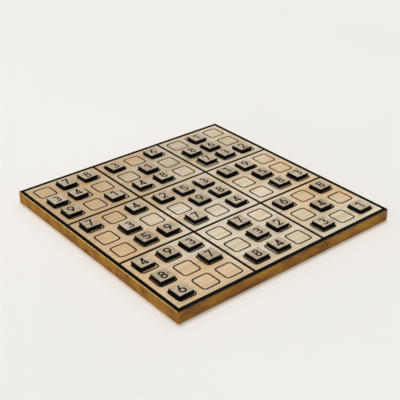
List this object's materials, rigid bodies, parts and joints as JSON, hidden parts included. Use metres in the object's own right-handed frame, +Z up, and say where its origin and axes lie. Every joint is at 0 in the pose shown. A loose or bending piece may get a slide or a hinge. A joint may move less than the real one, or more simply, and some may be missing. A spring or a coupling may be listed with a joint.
{
  "type": "sudoku board",
  "caption": "Square wooden sudoku board with a black frame line, block lines, rounded cell outlines and loose number tiles that lift off the play face.",
  "frame": {"origin": "centre of the underside", "axes": "+X along the puzzle's rows from the first column to the last, +Y towards the puzzle's first row, +Z up out of the play face"},
  "size_m": [0.25, 0.25, 0.0163],
  "materials": {
    "core_fibreboard": "sanded, satin lacquer",
    "veneer_wood": "fine streaky grain, satin lacquer",
    "line_ink": "matt black print",
    "outline_ink": "matt brown-black print",
    "tile_wood": "bare pale top, black sides"
  },
  "bodies": {
    "board": {"board_core": "core_fibreboard", "face_veneer": "veneer_wood", "back_veneer": "veneer_wood", "border_line": "line_ink", "block_lines": "line_ink", "cell_outlines": "outline_ink"},
    "tile_r1c2": {"tile_r1c2": "tile_wood"},
    "tile_r1c3": {"tile_r1c3": "tile_wood"},
    "tile_r1c4": {"tile_r1c4": "tile_wood"},
    "tile_r1c6": {"tile_r1c6": "tile_wood"},
    "tile_r1c8": {"tile_r1c8": "tile_wood"},
    "tile_r2c1": {"tile_r2c1": "tile_wood"},
    "tile_r2c2": {"tile_r2c2": "tile_wood"},
    "tile_r2c5": {"tile_r2c5": "tile_wood"},
    "tile_r2c7": {"tile_r2c7": "tile_wood"},
    "tile_r2c8": {"tile_r2c8": "tile_wood"},
    "tile_r3c1": {"tile_r3c1": "tile_wood"},
    "tile_r3c3": {"tile_r3c3": "tile_wood"},
    "tile_r3c4": {"tile_r3c4": "tile_wood"},
    "tile_r3c5": {"tile_r3c5": "tile_wood"},
    "tile_r3c7": {"tile_r3c7": "tile_wood"},
    "tile_r3c8": {"tile_r3c8": "tile_wood"},
    "tile_r3c9": {"tile_r3c9": "tile_wood"},
    "tile_r4c1": {"tile_r4c1": "tile_wood"},
    "tile_r4c3": {"tile_r4c3": "tile_wood"},
    "tile_r4c4": {"tile_r4c4": "tile_wood"},
    "tile_r4c5": {"tile_r4c5": "tile_wood"},
    "tile_r4c6": {"tile_r4c6": "tile_wood"},
    "tile_r4c7": {"tile_r4c7": "tile_wood"},
    "tile_r4c8": {"tile_r4c8": "tile_wood"},
    "tile_r5c2": {"tile_r5c2": "tile_wood"},
    "tile_r5c5": {"tile_r5c5": "tile_wood"},
    "tile_r5c6": {"tile_r5c6": "tile_wood"},
    "tile_r5c8": {"tile_r5c8": "tile_wood"},
    "tile_r6c2": {"tile_r6c2": "tile_wood"},
    "tile_r6c3": {"tile_r6c3": "tile_wood"},
    "tile_r6c4": {"tile_r6c4": "tile_wood"},
    "tile_r6c6": {"tile_r6c6": "tile_wood"},
    "tile_r6c8": {"tile_r6c8": "tile_wood"},
    "tile_r6c9": {"tile_r6c9": "tile_wood"},
    "tile_r7c1": {"tile_r7c1": "tile_wood"},
    "tile_r7c2": {"tile_r7c2": "tile_wood"},
    "tile_r7c3": {"tile_r7c3": "tile_wood"},
    "tile_r7c5": {"tile_r7c5": "tile_wood"},
    "tile_r7c7": {"tile_r7c7": "tile_wood"},
    "tile_r7c9": {"tile_r7c9": "tile_wood"},
    "tile_r8c1": {"tile_r8c1": "tile_wood"},
    "tile_r8c3": {"tile_r8c3": "tile_wood"},
    "tile_r8c5": {"tile_r8c5": "tile_wood"},
    "tile_r8c6": {"tile_r8c6": "tile_wood"},
    "tile_r8c8": {"tile_r8c8": "tile_wood"},
    "tile_r9c1": {"tile_r9c1": "tile_wood"},
    "tile_r9c4": {"tile_r9c4": "tile_wood"},
    "tile_r9c5": {"tile_r9c5": "tile_wood"},
    "tile_r9c7": {"tile_r9c7": "tile_wood"},
    "tile_r9c9": {"tile_r9c9": "tile_wood"}
  },
  "joints": [
    {"name": "lift_r1c2", "type": "slide", "parent": "board", "child": "tile_r1c2", "axis": [0, 0, 1], "range_m": [0, 0.03]},
    {"name": "lift_r1c3", "type": "slide", "parent": "board", "child": "tile_r1c3", "axis": [0, 0, 1], "range_m": [0, 0.03]},
    {"name": "lift_r1c4", "type": "slide", "parent": "board", "child": "tile_r1c4", "axis": [0, 0, 1], "range_m": [0, 0.03]},
    {"name": "lift_r1c6", "type": "slide", "parent": "board", "child": "tile_r1c6", "axis": [0, 0, 1], "range_m": [0, 0.03]},
    {"name": "lift_r1c8", "type": "slide", "parent": "board", "child": "tile_r1c8", "axis": [0, 0, 1], "range_m": [0, 0.03]},
    {"name": "lift_r2c1", "type": "slide", "parent": "board", "child": "tile_r2c1", "axis": [0, 0, 1], "range_m": [0, 0.03]},
    {"name": "lift_r2c2", "type": "slide", "parent": "board", "child": "tile_r2c2", "axis": [0, 0, 1], "range_m": [0, 0.03]},
    {"name": "lift_r2c5", "type": "slide", "parent": "board", "child": "tile_r2c5", "axis": [0, 0, 1], "range_m": [0, 0.03]},
    {"name": "lift_r2c7", "type": "slide", "parent": "board", "child": "tile_r2c7", "axis": [0, 0, 1], "range_m": [0, 0.03]},
    {"name": "lift_r2c8", "type": "slide", "parent": "board", "child": "tile_r2c8", "axis": [0, 0, 1], "range_m": [0, 0.03]},
    {"name": "lift_r3c1", "type": "slide", "parent": "board", "child": "tile_r3c1", "axis": [0, 0, 1], "range_m": [0, 0.03]},
    {"name": "lift_r3c3", "type": "slide", "parent": "board", "child": "tile_r3c3", "axis": [0, 0, 1], "range_m": [0, 0.03]},
    {"name": "lift_r3c4", "type": "slide", "parent": "board", "child": "tile_r3c4", "axis": [0, 0, 1], "range_m": [0, 0.03]},
    {"name": "lift_r3c5", "type": "slide", "parent": "board", "child": "tile_r3c5", "axis": [0, 0, 1], "range_m": [0, 0.03]},
    {"name": "lift_r3c7", "type": "slide", "parent": "board", "child": "tile_r3c7", "axis": [0, 0, 1], "range_m": [0, 0.03]},
    {"name": "lift_r3c8", "type": "slide", "parent": "board", "child": "tile_r3c8", "axis": [0, 0, 1], "range_m": [0, 0.03]},
    {"name": "lift_r3c9", "type": "slide", "parent": "board", "child": "tile_r3c9", "axis": [0, 0, 1], "range_m": [0, 0.03]},
    {"name": "lift_r4c1", "type": "slide", "parent": "board", "child": "tile_r4c1", "axis": [0, 0, 1], "range_m": [0, 0.03]},
    {"name": "lift_r4c3", "type": "slide", "parent": "board", "child": "tile_r4c3", "axis": [0, 0, 1], "range_m": [0, 0.03]},
    {"name": "lift_r4c4", "type": "slide", "parent": "board", "child": "tile_r4c4", "axis": [0, 0, 1], "range_m": [0, 0.03]},
    {"name": "lift_r4c5", "type": "slide", "parent": "board", "child": "tile_r4c5", "axis": [0, 0, 1], "range_m": [0, 0.03]},
    {"name": "lift_r4c6", "type": "slide", "parent": "board", "child": "tile_r4c6", "axis": [0, 0, 1], "range_m": [0, 0.03]},
    {"name": "lift_r4c7", "type": "slide", "parent": "board", "child": "tile_r4c7", "axis": [0, 0, 1], "range_m": [0, 0.03]},
    {"name": "lift_r4c8", "type": "slide", "parent": "board", "child": "tile_r4c8", "axis": [0, 0, 1], "range_m": [0, 0.03]},
    {"name": "lift_r5c2", "type": "slide", "parent": "board", "child": "tile_r5c2", "axis": [0, 0, 1], "range_m": [0, 0.03]},
    {"name": "lift_r5c5", "type": "slide", "parent": "board", "child": "tile_r5c5", "axis": [0, 0, 1], "range_m": [0, 0.03]},
    {"name": "lift_r5c6", "type": "slide", "parent": "board", "child": "tile_r5c6", "axis": [0, 0, 1], "range_m": [0, 0.03]},
    {"name": "lift_r5c8", "type": "slide", "parent": "board", "child": "tile_r5c8", "axis": [0, 0, 1], "range_m": [0, 0.03]},
    {"name": "lift_r6c2", "type": "slide", "parent": "board", "child": "tile_r6c2", "axis": [0, 0, 1], "range_m": [0, 0.03]},
    {"name": "lift_r6c3", "type": "slide", "parent": "board", "child": "tile_r6c3", "axis": [0, 0, 1], "range_m": [0, 0.03]},
    {"name": "lift_r6c4", "type": "slide", "parent": "board", "child": "tile_r6c4", "axis": [0, 0, 1], "range_m": [0, 0.03]},
    {"name": "lift_r6c6", "type": "slide", "parent": "board", "child": "tile_r6c6", "axis": [0, 0, 1], "range_m": [0, 0.03]},
    {"name": "lift_r6c8", "type": "slide", "parent": "board", "child": "tile_r6c8", "axis": [0, 0, 1], "range_m": [0, 0.03]},
    {"name": "lift_r6c9", "type": "slide", "parent": "board", "child": "tile_r6c9", "axis": [0, 0, 1], "range_m": [0, 0.03]},
    {"name": "lift_r7c1", "type": "slide", "parent": "board", "child": "tile_r7c1", "axis": [0, 0, 1], "range_m": [0, 0.03]},
    {"name": "lift_r7c2", "type": "slide", "parent": "board", "child": "tile_r7c2", "axis": [0, 0, 1], "range_m": [0, 0.03]},
    {"name": "lift_r7c3", "type": "slide", "parent": "board", "child": "tile_r7c3", "axis": [0, 0, 1], "range_m": [0, 0.03]},
    {"name": "lift_r7c5", "type": "slide", "parent": "board", "child": "tile_r7c5", "axis": [0, 0, 1], "range_m": [0, 0.03]},
    {"name": "lift_r7c7", "type": "slide", "parent": "board", "child": "tile_r7c7", "axis": [0, 0, 1], "range_m": [0, 0.03]},
    {"name": "lift_r7c9", "type": "slide", "parent": "board", "child": "tile_r7c9", "axis": [0, 0, 1], "range_m": [0, 0.03]},
    {"name": "lift_r8c1", "type": "slide", "parent": "board", "child": "tile_r8c1", "axis": [0, 0, 1], "range_m": [0, 0.03]},
    {"name": "lift_r8c3", "type": "slide", "parent": "board", "child": "tile_r8c3", "axis": [0, 0, 1], "range_m": [0, 0.03]},
    {"name": "lift_r8c5", "type": "slide", "parent": "board", "child": "tile_r8c5", "axis": [0, 0, 1], "range_m": [0, 0.03]},
    {"name": "lift_r8c6", "type": "slide", "parent": "board", "child": "tile_r8c6", "axis": [0, 0, 1], "range_m": [0, 0.03]},
    {"name": "lift_r8c8", "type": "slide", "parent": "board", "child": "tile_r8c8", "axis": [0, 0, 1], "range_m": [0, 0.03]},
    {"name": "lift_r9c1", "type": "slide", "parent": "board", "child": "tile_r9c1", "axis": [0, 0, 1], "range_m": [0, 0.03]},
    {"name": "lift_r9c4", "type": "slide", "parent": "board", "child": "tile_r9c4", "axis": [0, 0, 1], "range_m": [0, 0.03]},
    {"name": "lift_r9c5", "type": "slide", "parent": "board", "child": "tile_r9c5", "axis": [0, 0, 1], "range_m": [0, 0.03]},
    {"name": "lift_r9c7", "type": "slide", "parent": "board", "child": "tile_r9c7", "axis": [0, 0, 1], "range_m": [0, 0.03]},
    {"name": "lift_r9c9", "type": "slide", "parent": "board", "child": "tile_r9c9", "axis": [0, 0, 1], "range_m": [0, 0.03]}
  ]
}
